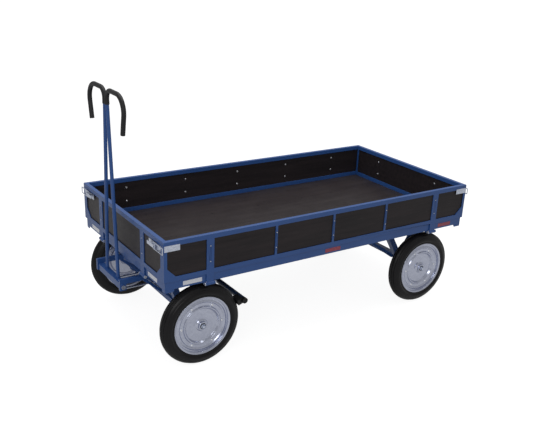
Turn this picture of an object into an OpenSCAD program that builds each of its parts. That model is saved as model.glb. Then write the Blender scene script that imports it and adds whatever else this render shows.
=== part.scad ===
// Hand-drawn turntable platform trailer with four drop sides.
// X runs along the trailer with the drawbar at -X, Z is up, and z = 0 is the floor.
// The left side of the trailer is at -Y. All sizes are in millimetres.

/* [Load bed] */
// Length over the outer faces of the front and rear boards
bed_l = 2038; // [1700:10:2600]
// Width over the outer faces of the side boards
bed_w = 1038; // [900:10:1300]
// Height of the top of the chassis above the floor
bed_z = 519; // [510:1:620]
// Thickness of the deck panel
deck_t = 12; // [9:1:18]
// Gap between the boards and the chassis or each other
board_gap = 0.5; // [0.3:0.1:1]

/* [Boards] */
// Height of a board above the chassis
board_h = 210.5; // [150:0.5:400]
// Depth of a board's channel frame
board_t = 22; // [18:1:30]
// Height of the top and bottom rails of a board
rail_h = 25; // [20:1:40]
// Width of the end posts on the side boards
side_post_w = 18; // [15:1:30]
// Width of the end posts on the front and rear boards
end_post_w = 15; // [12:1:30]
// Sheet thickness of the channel frame
sheet_t = 3; // [2:0.5:4]
// Thickness of the board panels
panel_t = 12; // [9:1:14]
// How far a panel sits in its channel
panel_bite = 10; // [6:1:14]
// Width of the hinge straps
strap_w = 42; // [36:1:60]
// Thickness of the straps and stiffeners
strap_t = 5; // [4:0.5:6]
// Distance of the side straps from the middle of the bed
side_strap_x = 766; // [600:1:800]
// Distance of the end straps from the middle of the bed
end_strap_y = 270; // [200:1:330]
// Width of the side boards' stiffeners
stiffener_w = 14; // [10:1:40]
// Spacing of the side boards' stiffeners
stiffener_pitch = 376; // [300:1:400]
// Leg length of the corner gussets
gusset = 45; // [20:1:60]
// Radius of the panel bolts
bolt_r = 3; // [2:0.5:4]
// Radius of the panel bolt heads
bolt_head_r = 6.5; // [5:0.5:9]
// Height of a bolt head or nut
bolt_head_h = 2.5; // [1.5:0.5:3]
// Height of the lower row of bolts above the chassis
bolt_low = 66; // [60:1:90]
// Height of the upper row of bolts above the chassis
bolt_high = 149; // [110:1:160]

/* [Hinges] */
// Height of the hinge axes below the top of the chassis
hinge_drop = 53; // [50:1:60]
// Distance of the hinge axes inside the outer faces of the boards
hinge_in = 2; // [0:0.5:3]
// Radius of the hinge pins
pin_r = 5; // [4:0.5:6]
// Outer radius of the strap eyes
eye_r = 8.5; // [8:0.1:8.6]
// Thickness of the hinge lugs
lug_t = 5; // [4:0.5:8]
// Side gap between a strap eye and its lugs
lug_gap = 0.5; // [0.3:0.1:1]
// Running clearance of pins and axles
run_gap = 0.05; // [0.02:0.01:0.1]

/* [Chassis] */
// Distance of the chassis face behind the outer faces of the boards
fascia_in = 7; // [6:1:9]
// Height of the chassis rails
chassis_h = 44; // [40:1:44]
// Depth of the chassis channels
channel_d = 30; // [25:1:45]
// Sheet thickness of the chassis channels
channel_t = 4; // [3:0.5:5]
// Width of the cross members
cross_w = 40; // [30:1:60]
// Wall thickness of the cross members
cross_wall = 3; // [2:0.5:4]
// Width of the corner feet
foot_pad_w = 50; // [40:1:70]
// Depth of the corner feet below the rails
foot_drop = 14; // [8:1:16]
// Radius of the deck screws
screw_r = 3; // [2:0.5:4]
// Length of a reflector strip
reflector_l = 105; // [80:1:130]
// Height of a reflector strip
reflector_h = 22; // [15:1:30]
// Thickness of a reflector strip
reflector_t = 0.8; // [0.4:0.1:1]

/* [Wheels] */
// Radius of the tyres
tyre_r = 223.6; // [200:0.1:226]
// Width of the tyres
tyre_w = 80; // [70:1:90]
// Radius of the rim flange
rim_r = 162; // [150:1:170]
// Width of the rim over its flanges
rim_w = 72; // [60:1:76]
// Thickness of the rim sheet
rim_t = 3; // [2:0.5:4]
// Distance of the middle of a wheel from the middle of the trailer
wheel_y = 464.6; // [450:0.1:464.6]
// Distance of the front axle from the middle of the bed
front_axle_x = 795; // [700:1:820]
// Distance of the rear axle from the middle of the bed
rear_axle_x = 735; // [650:1:780]
// Radius of the axle ends
axle_r = 10; // [8:1:12]
// Side of the square axle bars
axle_bar = 30; // [26:1:40]
// Outer radius of the wheel hubs
hub_r = 24; // [18:1:30]
// Length of a wheel hub
hub_l = 76; // [60:1:78]
// Distance of the axle nut's end outside the middle of the wheel
nut_reach = 48; // [46:0.5:48]
// Distance of the axle legs from the middle of the trailer
leg_y = 300; // [250:1:330]
// Width of the axle legs
leg_w = 40; // [30:1:50]
// Spread of the rear axle legs at the chassis
rear_leg_spread = 162; // [120:1:180]
// Distance of the rear brace's upper end from the rear axle
rear_brace_run = 400; // [300:1:450]

/* [Turntable] */
// Outer radius of the turntable rings
ring_r = 200; // [180:1:220]
// Width of the turntable rings
ring_w = 30; // [24:1:40]
// Height of the upper ring
upper_ring_h = 22; // [18:1:30]
// Height of the lower ring
lower_ring_h = 12; // [10:1:16]
// Gap between the two rings
ring_gap = 0.4; // [0.3:0.1:1]
// Radius of the balls between the rings
ball_r = 5; // [4:0.5:6]
// Height of the steering beams
beam_h = 31; // [25:1:40]
// Distance of the steering beams from the front axle
beam_x = 79; // [60:1:100]
// Height of the steering arms
arm_h = 28; // [24:1:32]
// Width of the steering arms
arm_w = 16; // [12:1:20]

/* [Drawbar] */
// Distance of the drawbar pivot from the middle of the bed
pivot_x = 1080; // [1076:1:1100]
// Height of the drawbar pivot above the floor
pivot_z = 366; // [362:1:372]
// Radius of the pivot bolts
pivot_r = 7; // [6:1:10]
// Side of the drawbar's foot
foot_w = 34; // [32:1:50]
// Half the length of the drawbar's foot
foot_y = 146; // [120:1:160]
// Distance of the foot's middle behind the pivot
foot_back = 5; // [0:1:6]
// Distance of the drawbar tubes behind the pivot
tube_back = 11; // [8:1:12]
// Radius of the drawbar tubes
tube_r = 9.5; // [8:0.5:14]
// Wall thickness of the drawbar tubes
tube_wall = 2; // [1.5:0.5:3]
// Half the distance between the tubes at the foot
tube_foot_y = 75; // [50:1:90]
// Height where the tubes meet
tube_meet_z = 1262; // [1100:1:1400]
// Height of the hooked handles above the meeting point
hook_rise = 100; // [90:1:120]
// Half the distance between the outer corners of the handles
hook_out = 234; // [200:1:260]
// Drop of the handles' ends below their tops
hook_drop = 186; // [150:1:220]
// How far the handles' ends lean inward
hook_lean = 37; // [20:1:50]
// Outer radius of the grips
grip_r = 12; // [11.5:0.5:18]

/* [Brake] */
// Distance of the brake bar behind the front axle
brake_x = 245; // [240:1:260]
// Height of the brake bar
brake_z = 312; // [300:1:320]
// Radius of the brake bar
brake_r = 15; // [12:1:18]
// Half the length of the brake bar
brake_y = 508; // [480:1:510]
// Travel of the brake bar
brake_travel = 15; // [8:1:20]
// Gap between a brake shoe and its tyre
shoe_gap = 0.4; // [0.3:0.1:1]
// Width of a brake shoe
shoe_w = 60; // [40:1:70]
// Radius of the brake rods
rod_r = 5; // [4:0.5:8]

/* [Latches] */
// Height of the middle of the latches below the tops of the boards
latch_drop = 42; // [36:1:60]
// Distance of the lever's pivot from the side board's outer face
latch_in = 79; // [70:1:100]
// Length of a latch lever
lever_l = 72; // [60:1:90]
// Distance between the lever's pivot and the bail's
bail_arm = 15; // [12:1:20]
// Radius of the bail wire
wire_r = 2.5; // [2:0.5:3]
// How far a bail stands outside the side board
bail_out = 5; // [4:0.5:8]
// Length of a strike plate
strike_l = 83; // [60:1:100]
// Height of a strike plate
strike_h = 31; // [20:1:36]

/* [Hidden] */
$fn = 64;

paint = "#35559c";
zinc = "#b9c1cc";
rubber = "#1b1b1d";
film = "#3c3336";
cut = 1;                    // overshoot of a cutting shape past the face it opens

// Bed and boards
half_l = bed_l / 2;
half_w = bed_w / 2;
board_z0 = bed_z + board_gap;
board_z1 = bed_z + board_gap + board_h;
end_board_l = bed_w - 2 * board_t - 2 * board_gap;
groove_out = sheet_t;
groove_in = board_t - sheet_t;
panel_out = strap_t;
bolt_gap = 0.1;
bolt_nut_r = bolt_head_r - 1;
side_straps = [-side_strap_x, side_strap_x];
side_stiffeners = [for (i = [-1:1]) i * stiffener_pitch];
side_bolts_at = concat(side_straps, side_stiffeners);
end_straps = [-end_strap_y, end_strap_y];

// Chassis
face_x = half_l - fascia_in;
face_y = half_w - fascia_in;
rail_z0 = bed_z - chassis_h;
deck_gap = 0.3;
deck_z1 = bed_z - deck_gap;
deck_z0 = deck_z1 - deck_t;
deck_x = half_l - board_t - deck_gap;
deck_y = half_w - board_t - deck_gap;
hinge_z = bed_z - hinge_drop;
lug_r = 9;
lug_root = 30;              // how far a lug reaches under its rail
pin_head_r = 8;
pin_head_h = 6;
foot_round = 8;
brace_w = 34;
brace_t = 12;
screw_head_r = 6;
screw_head_h = 3;
screw_nut_h = 4;
cross_x = [-900, -690, -330, 0, rear_axle_x - rear_brace_run,
    rear_axle_x - rear_leg_spread, rear_axle_x + rear_leg_spread];
screw_y = [-400, -240, 240, 400];
reflector_x = 862;          // distance of the end reflectors from the middle of the bed
reflector_y = 375;
reflector_up = 10;          // height of the reflectors above the rails' lower edges
red_shift = 10;             // how far the red side reflectors are moved to the rear

// Wheels and axles
hub_z = tyre_r;
axle_top = hub_z + axle_bar / 2;
axle_half = wheel_y - hub_l / 2 - 2;
washer_gap = 0.5;
nut_r = 14;
nut_skin = 2;               // thickness of a nut over the end of its axle
seat_h = 6;                 // depth of an axle's seat for its legs
seat_gap = 2;               // how far the seat reaches past the legs
flange_h = 9;
barrel_r = rim_r - flange_h;
tyre_gap = 0.3;
shoulder = 30;              // radius of a tyre's shoulder
bead_w = 8;                 // width of the sloped bead beside the rim
bead_h = 5;

// Outer face of the pressed disc: x is the radius, y points out of the wheel
disc_face = [[hub_r, 20], [70, 20], [96, 21], [101, 29], [105, 29], [109, 23], [128, 23], [134, 27],
    [barrel_r - rim_t, 27]];

// Turntable
upper_ring_z = rail_z0 - upper_ring_h;
lower_ring_z = upper_ring_z - ring_gap - lower_ring_h;
beam_z = lower_ring_z - beam_h;
arm_z = beam_z - arm_h;
beam_w = 40;
beam_y = leg_y + leg_w / 2;
ball_count = 24;
ball_gap = 0.3;
ring_mid = ring_r - ring_w / 2;
front_brace_run = 165;      // distance of the front brace's upper end from the front axle
front_brace_w = 24;

// Drawbar, with the handle's outline in its own plane
side_gap = 0.3;
arm_y0 = foot_y + side_gap;
arm_y1 = arm_y0 + arm_w;
ear_half = 18;
ear_drop = 20;
pivot_head_r = pivot_r + 5;
pivot_head_h = 8;
guide_front = 10;           // metal in front of, behind and under the brake bar's slot
guide_back = 25;
guide_floor = 8;
foot_mid_x = -pivot_x + foot_back;
tube_x = -pivot_x + tube_back;
foot_wall = 3;
foot_plug = 40;
bolt_reach = 30;
tube_apart = 1.6;           // gap between the two tubes where they meet
meet_y = tube_r + tube_apart / 2;
hook_top = tube_meet_z + hook_rise;
handle_foot = [tube_foot_y, pivot_z];
handle_in = [meet_y, hook_top];
handle_out = [hook_out, hook_top];
handle_tip = [hook_out - hook_lean, hook_top - hook_drop];
inner_bend = 48;
outer_bend = 78;
handle_lean = atan2(tube_foot_y - meet_y, hook_top - pivot_z);
grip_start = 924;           // length of bare tube above the pivot
grip_gap = 0.3;
grip_sides = 16;
shoe_hug = 6;               // how far a shoe's sides reach round the tread

// Latches
latch_z = board_z1 - latch_drop;
lever_half = 9;
ear_t = 2.5;
plate_t = 2.5;
plate_half = 15;
plate_end = 158;            // distance of a plate's far end from the side board's outer face
plate_in = 4;               // distance of its near end from the end of its board
lever_t = 2.5;
lever_out = 9;              // distance of the latch pivots from the board's face
lever_r = 6;
cheek_r = lever_r - 1;
lever_play = 1.5;           // side play of a lever between its ears
ear_z = lever_half + lever_play + ear_t;
bail_play = 1;
bail_half = ear_z + wire_r + bail_play;
strike_t = 3;
strike_in = 2;
strike_up = 8;              // height of the strikes' middles above the latches' middles

// Middle of the length between the drawbar's ears and the rear latches
front_reach = pivot_x + ear_half;
rear_reach = half_l + lever_out + cheek_r + lever_t;
x_c = (front_reach - rear_reach) / 2;

// ---------- helpers ----------

module place() translate([x_c, 0, 0]) children();

module both_sides() {
    children();
    mirror([0, 1, 0]) children();
}

module both_ends() {
    children();
    mirror([1, 0, 0]) children();
}

// Box between two opposite corners
module block(a, b) {
    lo = [for (i = [0:2]) min(a[i], b[i])];
    hi = [for (i = [0:2]) max(a[i], b[i])];
    translate(lo) cube(hi - lo);
}

module rod_x(r, x0, x1) translate([x0, 0, 0]) rotate([0, 90, 0]) cylinder(r = r, h = x1 - x0);

module rod_y(r, y0, y1) translate([0, y1, 0]) rotate([90, 0, 0]) cylinder(r = r, h = y1 - y0);

// Slanted bar in the XZ plane with level ends, centred on y
module slant(foot, top, w, t, y) {
    translate([0, y + t / 2, 0]) rotate([90, 0, 0]) linear_extrude(t) polygon([
        [foot[0] - w / 2, foot[1]], [foot[0] + w / 2, foot[1]],
        [top[0] + w / 2, top[1]], [top[0] - w / 2, top[1]]
    ]);
}

function unit(v) = v / norm(v);

function arc(c, r, a0, a1, n) = [for (i = [0:n]) let (a = a0 + (a1 - a0) * i / n) c + r * [cos(a), sin(a)]];

// Points along a bend of radius rb that rounds corner p between a and b
function bend(a, p, b, rb, n) = let (
    u = unit(a - p),
    v = unit(b - p),
    half = acos(u * v) / 2,
    mid = p + unit(u + v) * rb / sin(half),
    from = p + u * rb / tan(half) - mid,
    turn = (u[0] * v[1] - u[1] * v[0] > 0 ? -1 : 1) * (180 - 2 * half)
) arc(mid, rb, atan2(from[1], from[0]), atan2(from[1], from[0]) + turn, n);

// Direction of a path of points at point i
function heading(path, i) = unit(path[min(i + 1, len(path) - 1)] - path[max(i - 1, 0)]);

// Round bar of radius r along a path of points in the YZ plane at x
module swept_bar(path, r, x, sides) {
    last = len(path) - 1;
    rings = [for (i = [0:last]) let (h = heading(path, i)) for (j = [0:sides - 1]) let (a = 360 * j / sides)
        [x + r * sin(a), path[i][0] - r * cos(a) * h[1], path[i][1] + r * cos(a) * h[0]]];
    walls = [for (i = [0:last - 1]) for (j = [0:sides - 1]) let (k = (j + 1) % sides)
        [i * sides + j, i * sides + k, (i + 1) * sides + k, (i + 1) * sides + j]];
    ends = [[for (j = [sides - 1:-1:0]) j], [for (j = [0:sides - 1]) last * sides + j]];
    polyhedron(rings, concat(walls, ends));
}

// ---------- chassis ----------

// Cross-section of a chassis rail: x inward from its face, y up
module rail_section() {
    ledge = deck_z0 - rail_z0;
    difference() {
        union() {
            square([channel_d, ledge]);
            square([board_t - fascia_in, chassis_h]);
        }
        translate([channel_t, channel_t]) square([channel_d, ledge - 2 * channel_t]);
    }
}

// Chassis rails along the sides
module side_rails() color(paint) place() both_sides()
    translate([channel_t - face_x, -face_y, rail_z0]) rotate([90, 0, 90])
        linear_extrude(2 * face_x - 2 * channel_t) rail_section();

// Chassis rails across the ends
module end_rails() color(paint) place() both_ends()
    translate([-face_x, face_y - channel_d, rail_z0]) rotate([90, 0, 0])
        linear_extrude(2 * face_y - 2 * channel_d) rail_section();

// Tubes across the chassis under the deck
module cross_members() color(paint) place() for (x = cross_x)
    difference() {
        block([x - cross_w / 2, channel_d - face_y, rail_z0],
            [x + cross_w / 2, face_y - channel_d, deck_z0]);
        block([x - cross_w / 2 + cross_wall, -face_y, rail_z0 + cross_wall],
            [x + cross_w / 2 - cross_wall, face_y, deck_z0 - cross_wall]);
        for (y = screw_y) translate([x, y, rail_z0 - cut]) cylinder(r = screw_r + bolt_gap, h = chassis_h);
    }

// Plates that close the corners and reach below the rails
module corner_feet() color(paint) place() both_sides() both_ends() {
    difference() {
        block([-face_x, -face_y, rail_z0 - foot_drop], [channel_t - face_x, channel_d - face_y, bed_z]);
        translate([-face_x - cut, -face_y, rail_z0 - foot_drop]) rotate([45, 0, 0])
            cube([channel_t + 2 * cut, foot_round, foot_round], center = true);
    }
    difference() {
        block([channel_t - face_x, -face_y, rail_z0 - foot_drop],
            [foot_pad_w - face_x, channel_t - face_y, rail_z0]);
        translate([foot_pad_w - face_x, -face_y, rail_z0 - foot_drop]) rotate([0, 45, 0])
            cube([foot_round, 4 * channel_t, foot_round], center = true);
    }
}

// Places a shape drawn for a board, x along it and y inward from its outer face
module at_left() translate([0, -half_w, 0]) children();

module at_front() translate([-half_l, 0, 0]) rotate([0, 0, -90]) children();

module each_strap() {
    both_sides() at_left() for (s = [-1, 1]) translate([s * side_strap_x, 0, 0]) children();
    both_ends() at_front() for (s = [-1, 1]) translate([s * end_strap_y, 0, 0]) children();
}

// Lugs under the rails that carry the hinge pins
module hinge_lugs() color(paint) place() each_strap() for (s = [-1, 1])
    mirror([s < 0 ? 1 : 0, 0, 0]) difference() {
        x0 = strap_w / 2 + lug_gap;
        union() {
            block([x0, hinge_in, hinge_z - lug_r], [x0 + lug_t, hinge_in + lug_root, rail_z0]);
            translate([0, hinge_in, hinge_z]) rod_x(lug_r, x0, x0 + lug_t);
        }
        translate([0, hinge_in, hinge_z]) rod_x(pin_r + run_gap, x0 - cut, x0 + lug_t + cut);
    }

// Headed hinge pins
module hinge_pins() color(zinc) place() each_strap() translate([0, hinge_in, hinge_z]) {
    x1 = strap_w / 2 + lug_gap + lug_t;
    rod_x(pin_r, -x1 - pin_head_h, x1 + pin_head_h);
    for (s = [0, 1]) mirror([s, 0, 0]) rod_x(pin_head_r, x1 + side_gap, x1 + pin_head_h);
}

// Coated plywood deck, countersunk for its screws
module deck() color(film) place() difference() {
    block([-deck_x, -deck_y, deck_z0], [deck_x, deck_y, deck_z1]);
    for (x = cross_x) for (y = screw_y) translate([x, y, deck_z1]) {
        translate([0, 0, -deck_t - cut]) cylinder(r = screw_r + bolt_gap, h = deck_t + 2 * cut);
        translate([0, 0, -screw_head_h]) cylinder(r = screw_head_r + bolt_gap, h = screw_head_h + cut);
    }
}

// Deck screws with their nuts under the cross members
module deck_screws() color(zinc) place() for (x = cross_x) for (y = screw_y) translate([x, y, 0]) {
    translate([0, 0, rail_z0 - screw_nut_h])
        cylinder(r = screw_r, h = deck_z1 - rail_z0 + screw_nut_h - deck_gap);
    translate([0, 0, deck_z1 - screw_head_h]) cylinder(r = screw_head_r, h = screw_head_h - deck_gap);
    translate([0, 0, rail_z0 - screw_nut_h]) cylinder(r = screw_head_r, h = screw_nut_h);
}

// Reflector strip on a chassis rail, drawn as for a board
module reflector(x) translate([x - reflector_l / 2, fascia_in - reflector_t, rail_z0 + reflector_up])
    cube([reflector_l, reflector_t, reflector_h]);

// White reflectors at the front
module white_reflectors() color("white") place() {
    both_sides() at_left() reflector(-reflector_x);
    at_front() for (s = [-1, 1]) reflector(s * reflector_y);
}

// Red reflectors along the sides and at the rear
module red_reflectors() color("#a8203c") place() {
    both_sides() at_left() for (x = [0, reflector_x]) reflector(x + red_shift);
    mirror([1, 0, 0]) at_front() for (s = [-1, 1]) reflector(s * reflector_y);
}

// Deep groove for the turntable's balls
module ball_groove(z) translate([0, 0, z]) rotate_extrude()
    translate([ring_mid, 0]) circle(ball_r + ball_gap);

// Ring bolted under the chassis
module upper_ring() color(zinc) place() translate([-front_axle_x, 0, 0]) difference() {
    translate([0, 0, upper_ring_z]) cylinder(r = ring_r, h = upper_ring_h);
    translate([0, 0, upper_ring_z - cut]) cylinder(r = ring_r - ring_w, h = upper_ring_h + 2 * cut);
    ball_groove(upper_ring_z - ring_gap / 2);
}

// Balls that carry the load between the rings
module ring_balls() color(zinc) place() for (i = [0:ball_count - 1])
    translate([-front_axle_x, 0, upper_ring_z - ring_gap / 2]) rotate([0, 0, i * 360 / ball_count])
        translate([ring_mid, 0, 0]) sphere(ball_r);

// Square axle with round ends and seats for its legs
module axle(x) translate([x, 0, hub_z]) {
    block([-axle_bar / 2, -axle_half, -axle_bar / 2], [axle_bar / 2, axle_half, axle_bar / 2]);
    both_sides() {
        block([-leg_w - seat_gap, -leg_y - leg_w / 2, axle_bar / 2 - seat_h],
            [leg_w + seat_gap, -leg_y + leg_w / 2, axle_bar / 2]);
        rod_y(axle_r, -wheel_y - nut_reach + nut_skin, -axle_half);
    }
}

// Nuts on the axle ends
module axle_nuts(x) both_sides() translate([x, 0, hub_z]) difference() {
    rod_y(nut_r, -wheel_y - nut_reach, -wheel_y - hub_l / 2 - washer_gap);
    rod_y(axle_r + run_gap, -wheel_y - nut_reach + nut_skin - run_gap, -wheel_y);
}

module rear_axle() color(paint) place() axle(rear_axle_x);

module rear_axle_nuts() color(zinc) place() axle_nuts(rear_axle_x);

// Legs and braces between the chassis and the rear axle
module rear_axle_legs() color(paint) place() for (s = [-1, 1]) {
    for (t = [-1, 1])
        slant([rear_axle_x + t * (leg_w / 2 + side_gap), axle_top],
            [rear_axle_x + t * rear_leg_spread, rail_z0], leg_w, leg_w, s * leg_y);
    slant([rear_axle_x - leg_w - brace_w / 2 - 3 * side_gap, axle_top],
        [rear_axle_x - rear_brace_run, rail_z0], brace_w, brace_t, s * leg_y);
}

// ---------- turntable ----------

// Ring that turns with the front axle
module lower_ring() color(zinc) place() translate([-front_axle_x, 0, 0]) difference() {
    translate([0, 0, lower_ring_z]) cylinder(r = ring_r, h = lower_ring_h);
    translate([0, 0, lower_ring_z - cut]) cylinder(r = ring_r - ring_w, h = lower_ring_h + 2 * cut);
    ball_groove(upper_ring_z - ring_gap / 2);
}

// Two beams across the steering arms
module steering_beams() color(paint) place() for (s = [-1, 1]) {
    x = s * beam_x - front_axle_x;
    difference() {
        block([x - beam_w / 2, -beam_y, beam_z], [x + beam_w / 2, beam_y, lower_ring_z]);
        block([x - beam_w / 2 + cross_wall, -beam_y - cut, beam_z + cross_wall],
            [x + beam_w / 2 - cross_wall, beam_y + cut, lower_ring_z - cross_wall]);
    }
}

// Two arms from the drawbar's pivot back to the brake bar
module steering_arms() color(paint) place() both_sides() difference() {
    x_b = brake_x - front_axle_x;
    guide = brake_r + side_gap;
    union() {
        block([-pivot_x - ear_half, -arm_y1, arm_z], [x_b + guide + guide_back, -arm_y0, beam_z]);
        block([-pivot_x - ear_half, -arm_y1, pivot_z - ear_drop], [-pivot_x + ear_half, -arm_y0, arm_z]);
        block([x_b - guide - guide_front, -arm_y1, brake_z - guide - guide_floor],
            [x_b + guide + guide_back, -arm_y0, arm_z]);
    }
    translate([-pivot_x, 0, pivot_z]) rod_y(pivot_r + bolt_gap, -arm_y1 - cut, -arm_y0 + cut);
    translate([x_b, 0, brake_z]) rod_y(guide, -arm_y1 - cut, -arm_y0 + cut);
    translate([x_b + brake_travel, 0, brake_z]) rod_y(guide, -arm_y1 - cut, -arm_y0 + cut);
    block([x_b, -arm_y1 - cut, brake_z - guide], [x_b + brake_travel, -arm_y0 + cut, brake_z + guide]);
}

module front_axle() color(paint) place() axle(-front_axle_x);

module front_axle_nuts() color(zinc) place() axle_nuts(-front_axle_x);

// Legs under the steering beams, and braces under the arms
module front_axle_legs() color(paint) place() for (s = [-1, 1]) {
    for (t = [-1, 1])
        slant([-front_axle_x + t * (leg_w / 2 + side_gap), axle_top],
            [-front_axle_x + t * beam_x, beam_z], leg_w, leg_w, s * leg_y);
    slant([-front_axle_x, axle_top], [-front_axle_x - front_brace_run, arm_z], front_brace_w, brace_t,
        s * (arm_y0 + arm_w / 2));
}

// Bolts that the drawbar turns on
module drawbar_bolts() color(zinc) place() both_sides() translate([-pivot_x, 0, pivot_z]) {
    rod_y(pivot_r, -arm_y1 - cut, -foot_y + bolt_reach);
    rod_y(pivot_head_r, -arm_y1 - pivot_head_h, -arm_y1 - side_gap);
}

// ---------- drawbar ----------

// Channel at the bottom of the drawbar
module drawbar_foot() color(paint) place() difference() {
    half = foot_w / 2;
    block([foot_mid_x - half, -foot_y, pivot_z - half],
        [foot_mid_x + half, foot_y, pivot_z + half]);
    block([foot_mid_x - half + foot_wall, foot_plug - foot_y, pivot_z - half - cut],
        [foot_mid_x + half - foot_wall, foot_y - foot_plug, pivot_z + half - foot_wall]);
    both_sides() translate([-pivot_x, 0, pivot_z])
        rod_y(pivot_r + run_gap, -foot_y - cut, -foot_y + bolt_reach + cut);
}

// Two tubes that lean together from the foot up to the grips
module drawbar_tubes() color(paint) place() both_sides() difference() {
    translate([tube_x, -tube_foot_y, pivot_z]) rotate([-handle_lean, 0, 0]) linear_extrude(grip_start)
        difference() {
            circle(tube_r);
            circle(tube_r - tube_wall);
        }
    block([tube_x - foot_w, -half_w, 0], [tube_x + foot_w, half_w, pivot_z + foot_w / 2]);
}

// Rubber-covered hooks, one for each hand
module hand_grips() color(rubber) place() both_sides() {
    start = handle_foot + unit(handle_in - handle_foot) * (grip_start + grip_gap);
    swept_bar([for (p = concat([start], bend(handle_foot, handle_in, handle_out, inner_bend, 7),
        bend(handle_in, handle_out, handle_tip, outer_bend, 9), [handle_tip])) [-p[0], p[1]]],
        grip_r, tube_x, grip_sides);
}

// ---------- brake ----------

// Bar behind the front tyres
module brake_bar() color(paint) place() translate([brake_x - front_axle_x, 0, brake_z]) difference() {
    rod_y(brake_r, -brake_y, brake_y);
    rod_y(brake_r - cross_wall, -brake_y - cut, brake_y + cut);
}

// Shoes between the bar and the tyres' treads
module brake_shoes() color(rubber) place() for (s = [-1, 1]) translate([-front_axle_x, s * wheel_y, hub_z])
    difference() {
        lift = atan2(brake_z - hub_z, brake_x);
        reach = norm([brake_x, brake_z - hub_z]);
        rotate([0, -lift, 0]) block([tyre_r - shoe_hug, -shoe_w / 2, -brake_r], [reach, shoe_w / 2, brake_r]);
        rod_y(tyre_r + shoe_gap, -shoe_w, shoe_w);
        translate([brake_x, 0, brake_z - hub_z]) rod_y(brake_r + side_gap, -shoe_w, shoe_w);
    }

// Rods from the brake bar towards the drawbar's foot
module brake_rods() color(zinc) place() for (s = [-1, 1]) translate([0, s * foot_y / 2, brake_z])
    rod_x(rod_r, -pivot_x + foot_w, brake_x - front_axle_x - brake_r);

// ---------- wheels ----------

// Hub, disc and flanged barrel in one outline
module rim_section() {
    bore = axle_r + run_gap;
    hub_end = hub_l / 2;
    edge = rim_w / 2;
    well = barrel_r - rim_t;
    disc_back = [for (i = [len(disc_face) - 1:-1:0]) disc_face[i] - [0, rim_t]];
    polygon(concat(
        [[bore, -hub_end], [bore, hub_end], [hub_r, hub_end]], disc_face,
        [[well, edge], [rim_r, edge], [rim_r, edge - rim_t], [barrel_r, edge - rim_t]],
        [[barrel_r, rim_t - edge], [rim_r, rim_t - edge], [rim_r, -edge], [well, -edge]],
        disc_back, [[hub_r, -hub_end]]
    ));
}

// Solid rubber tyre seated between the rim's flanges
module tyre_section() {
    seat = rim_w / 2 - rim_t - tyre_gap;
    base = barrel_r + tyre_gap;
    lip = rim_r + tyre_gap;
    side = tyre_w / 2;
    right = concat(
        [[base, seat], [lip, seat], [lip, side - bead_h], [lip + bead_w, side]],
        arc([tyre_r - shoulder, side - shoulder], shoulder, 90, 0, 8)
    );
    polygon(concat(right, [for (i = [len(right) - 1:-1:0]) [right[i][0], -right[i][1]]]));
}

module at_wheel(x, s) place() mirror([0, s, 0]) translate([x, -wheel_y, hub_z])
    rotate([90, 0, 0]) children();

module rim(x, s) color(zinc) at_wheel(x, s) rotate_extrude($fn = 128) rim_section();

module tyre(x, s) color(rubber) at_wheel(x, s) rotate_extrude($fn = 128) tyre_section();

module tyre_front_left() tyre(-front_axle_x, 0);

module rim_front_left() rim(-front_axle_x, 0);

module tyre_front_right() tyre(-front_axle_x, 1);

module rim_front_right() rim(-front_axle_x, 1);

module tyre_rear_left() tyre(rear_axle_x, 0);

module rim_rear_left() rim(rear_axle_x, 0);

module tyre_rear_right() tyre(rear_axle_x, 1);

module rim_rear_right() rim(rear_axle_x, 1);

// ---------- boards, drawn with x along the board and y inward from its outer face ----------

// Where the bolts pass through a board
function bolt_spots(xs) = [for (x = xs) for (z = [bolt_low, bolt_high]) [x, bed_z + z]];

module bolt_holes(spots) for (p = spots) translate([p[0], 0, p[1]])
    rod_y(bolt_r + bolt_gap, -board_t, 2 * board_t);

// Channel frame with its stiffeners, hinge straps and gussets
module board_frame(l, post_w, straps, stiffeners) difference() {
    half = l / 2;
    union() {
        difference() {
            block([-half, 0, board_z0], [half, board_t, board_z1]);
            block([post_w - half, -cut, board_z0 + rail_h],
                [half - post_w, board_t + cut, board_z1 - rail_h]);
            block([sheet_t - half, groove_out, board_z0 + sheet_t],
                [half - sheet_t, groove_in, board_z1 - sheet_t]);
        }
        for (x = stiffeners)
            block([x - stiffener_w / 2, 0, board_z0], [x + stiffener_w / 2, strap_t, board_z1]);
        for (x = straps) {
            block([x - strap_w / 2, 0, hinge_z], [x + strap_w / 2, strap_t, board_z1]);
            translate([x, hinge_in, hinge_z]) rod_x(eye_r, -strap_w / 2, strap_w / 2);
        }
        both_ends() translate([post_w - half, strap_t, board_z0 + rail_h]) rotate([90, 0, 0])
            linear_extrude(strap_t) polygon([
                [-sheet_t, -sheet_t], [gusset, -sheet_t], [gusset, 0], [0, gusset], [-sheet_t, gusset]
            ]);
    }
    for (x = straps) translate([x, hinge_in, hinge_z])
        rod_x(pin_r + run_gap, -strap_w / 2 - cut, strap_w / 2 + cut);
    bolt_holes(bolt_spots(concat(straps, stiffeners)));
}

// Coated plywood held in the channels
module board_panel(l, post_w, bolts_at) color(film) difference() {
    x1 = l / 2 - post_w + panel_bite;
    block([-x1, panel_out, board_z0 + rail_h - panel_bite],
        [x1, panel_out + panel_t, board_z1 - rail_h + panel_bite]);
    bolt_holes(bolt_spots(bolts_at));
}

// Bolts through the straps, stiffeners and panel
module board_bolts(bolts_at) color(zinc) for (p = bolt_spots(bolts_at)) translate([p[0], 0, p[1]]) {
    rod_y(bolt_r, -bolt_head_h, panel_out + panel_t + bolt_head_h);
    rod_y(bolt_nut_r, -bolt_head_h, 0);
    rod_y(bolt_head_r, panel_out + panel_t, panel_out + panel_t + bolt_head_h);
}

module left_frame() color(paint) place() at_left()
    board_frame(bed_l, side_post_w, side_straps, side_stiffeners);

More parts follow.
